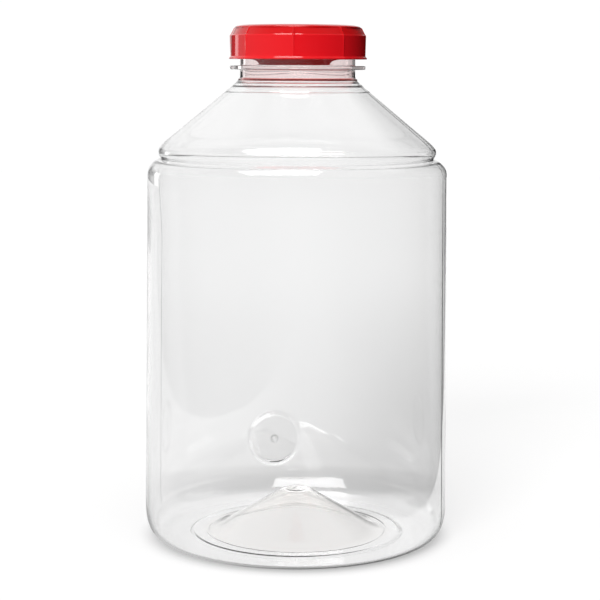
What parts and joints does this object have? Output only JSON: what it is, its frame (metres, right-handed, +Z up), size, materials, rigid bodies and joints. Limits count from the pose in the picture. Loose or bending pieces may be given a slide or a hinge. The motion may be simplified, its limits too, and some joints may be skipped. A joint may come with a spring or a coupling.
{
  "type": "carboy",
  "caption": "Clear plastic wide-mouth carboy with a conical shoulder, a domed-in base and a red screw lid that unscrews and lifts off the mouth.",
  "frame": {"origin": "middle of the base, on the surface that the carboy stands on", "axes": "+Z up along the bottle's axis; -Y towards the viewer of the picture, +X to the right there; the blank port pad is low on the +Y side"},
  "size_m": [0.3024, 0.3024, 0.508],
  "materials": {
    "clear_plastic": "clear, glossy, blow moulded",
    "red_plastic": "glossy injection-moulded red",
    "seal_foam": "matt soft seal"
  },
  "bodies": {
    "bottle": {"bottle": "clear_plastic"},
    "seal": {"seal_ring": "seal_foam"},
    "lid": {"lid": "red_plastic"}
  },
  "joints": [
    {"name": "lid_rise", "type": "slide", "parent": "bottle", "child": "seal", "axis": [0, 0, 1], "range_m": [0, 0.0365]},
    {"name": "lid_turn", "type": "hinge", "parent": "seal", "child": "lid", "pos_m": [0, 0, 0.475], "axis": [0, 0, 1], "range_deg": [0, 1080]}
  ],
  "couplings": [
    {"joint": "lid_rise", "follows": "lid_turn", "m_per_rad": 0.0019099}
  ]
}
